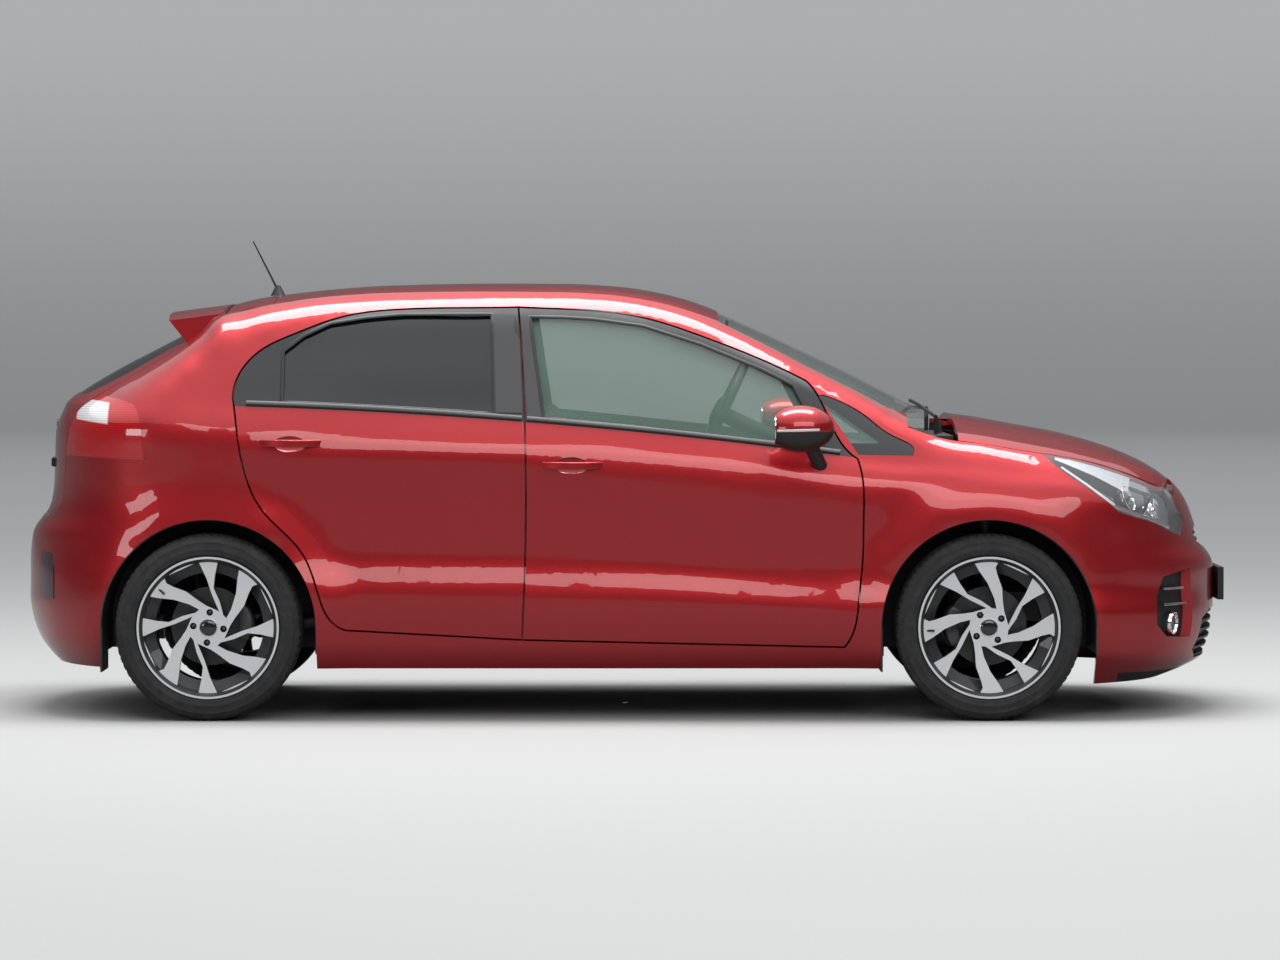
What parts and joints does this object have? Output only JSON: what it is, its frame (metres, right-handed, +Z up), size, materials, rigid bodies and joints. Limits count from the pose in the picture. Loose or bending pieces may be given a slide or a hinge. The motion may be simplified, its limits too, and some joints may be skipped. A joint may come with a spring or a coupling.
{
  "type": "hatchback car",
  "caption": "Five-door hatchback car with opening doors, bonnet and tailgate, steered front wheels, glazed cabin and alloy wheels.",
  "frame": {"origin": "on the ground, midway along and across the car", "axes": "+X forward, +Y to the car's left, +Z up"},
  "size_m": [4.0709, 2.0018, 1.5914],
  "materials": {
    "red_paint": "glossy metallic",
    "tyre_rubber": "matt",
    "wheel_alloy": "machined and dark painted",
    "clear_glass": "polished",
    "head_lamp_lens": "polished",
    "tail_lamp_lens": "polished",
    "chassis_steel": "painted black",
    "engine_metal": "cast",
    "floor_metal": "satin",
    "seat_cloth": "woven",
    "black_plastic": "grained",
    "exhaust_steel": "dull"
  },
  "bodies": {
    "car_body": {"antenna": "black_plastic", "body_sides": "red_paint", "dashboard": "black_plastic", "engine_block": "engine_metal", "exhaust": "exhaust_steel", "firewall": "floor_metal", "fixed_glass": "clear_glass", "floor_pan": "floor_metal", "front_bumper": "red_paint", "front_fenders": "red_paint", "front_seats": "seat_cloth", "front_subframe": "chassis_steel", "grilles": "black_plastic", "headlamps": "head_lamp_lens", "hinges": "chassis_steel", "rear_axle": "chassis_steel", "rear_bumper": "red_paint", "rear_seat": "seat_cloth", "roof_panel": "red_paint", "tail_lamps": "tail_lamp_lens", "wheel_liners": "black_plastic", "wipers": "black_plastic"},
    "bonnet_lid": {"bonnet": "red_paint"},
    "door_fl": {"door_glass_fl": "clear_glass", "door_panel_fl": "red_paint", "mirror_left": "red_paint"},
    "door_fr": {"door_glass_fr": "clear_glass", "door_panel_fr": "red_paint", "mirror_right": "red_paint"},
    "door_rl": {"door_glass_rl": "clear_glass", "door_panel_rl": "red_paint"},
    "door_rr": {"door_glass_rr": "clear_glass", "door_panel_rr": "red_paint"},
    "fuel_flap": {"fuel_lid": "red_paint"},
    "knuckle_l": {"knuckle_left": "chassis_steel"},
    "knuckle_r": {"knuckle_right": "chassis_steel"},
    "tailgate_lid": {"rear_wiper": "black_plastic", "spoiler": "red_paint", "tailgate_glass": "clear_glass", "tailgate_panel": "red_paint"},
    "wheel_fl": {"rim_fl": "wheel_alloy", "tyre_fl": "tyre_rubber"},
    "wheel_fr": {"rim_fr": "wheel_alloy", "tyre_fr": "tyre_rubber"},
    "wheel_rl": {"rim_rl": "wheel_alloy", "tyre_rl": "tyre_rubber"},
    "wheel_rr": {"rim_rr": "wheel_alloy", "tyre_rr": "tyre_rubber"}
  },
  "joints": [
    {"name": "door_fr_hinge", "type": "hinge", "parent": "car_body", "child": "door_fr", "pos_m": [0.74408, -0.83301, 0.42], "axis": [0, 0.0262, 0.9997], "range_deg": [0, 66]},
    {"name": "door_fl_hinge", "type": "hinge", "parent": "car_body", "child": "door_fl", "pos_m": [0.74408, 0.83301, 0.42], "axis": [0, -0.0262, 0.9997], "range_deg": [-66, 0]},
    {"name": "door_rr_hinge", "type": "hinge", "parent": "car_body", "child": "door_rr", "pos_m": [-0.3749, -0.83103, 0.42], "axis": [0, 0, 1], "range_deg": [0, 66]},
    {"name": "door_rl_hinge", "type": "hinge", "parent": "car_body", "child": "door_rl", "pos_m": [-0.3749, 0.83103, 0.42], "axis": [0, 0, 1], "range_deg": [-66, 0]},
    {"name": "bonnet_hinge", "type": "hinge", "parent": "car_body", "child": "bonnet_lid", "pos_m": [1.0679, 0, 0.96801], "axis": [0, -1, 0], "range_deg": [0, 52]},
    {"name": "tailgate_hinge", "type": "hinge", "parent": "car_body", "child": "tailgate_lid", "pos_m": [-1.37898, 0, 1.35093], "axis": [0, 1, 0], "range_deg": [0, 78]},
    {"name": "fuel_flap_hinge", "type": "hinge", "parent": "car_body", "child": "fuel_flap", "pos_m": [-1.33098, 0.82984, 0.8453], "axis": [0, 0, 1], "range_deg": [-85, 0]},
    {"name": "steer_r", "type": "hinge", "parent": "car_body", "child": "knuckle_r", "pos_m": [1.2, -0.68, 0.2], "axis": [0, 0.1738, 0.9848], "range_deg": [-29, 29]},
    {"name": "steer_l", "type": "hinge", "parent": "car_body", "child": "knuckle_l", "pos_m": [1.2, 0.68, 0.2], "axis": [0, -0.1738, 0.9848], "range_deg": [-29, 29]},
    {"name": "wheel_fr_spin", "type": "hinge", "parent": "knuckle_r", "child": "wheel_fr", "pos_m": [1.2, -0.747, 0.308], "axis": [0, 1, 0], "continuous": true},
    {"name": "wheel_fl_spin", "type": "hinge", "parent": "knuckle_l", "child": "wheel_fl", "pos_m": [1.2, 0.747, 0.308], "axis": [0, 1, 0], "continuous": true},
    {"name": "wheel_rr_spin", "type": "hinge", "parent": "car_body", "child": "wheel_rr", "pos_m": [-1.37, -0.75, 0.308], "axis": [0, 1, 0], "continuous": true},
    {"name": "wheel_rl_spin", "type": "hinge", "parent": "car_body", "child": "wheel_rl", "pos_m": [-1.37, 0.75, 0.308], "axis": [0, 1, 0], "continuous": true}
  ],
  "couplings": [
    {"joint": "steer_l", "follows": "steer_r", "ratio": 1}
  ]
}
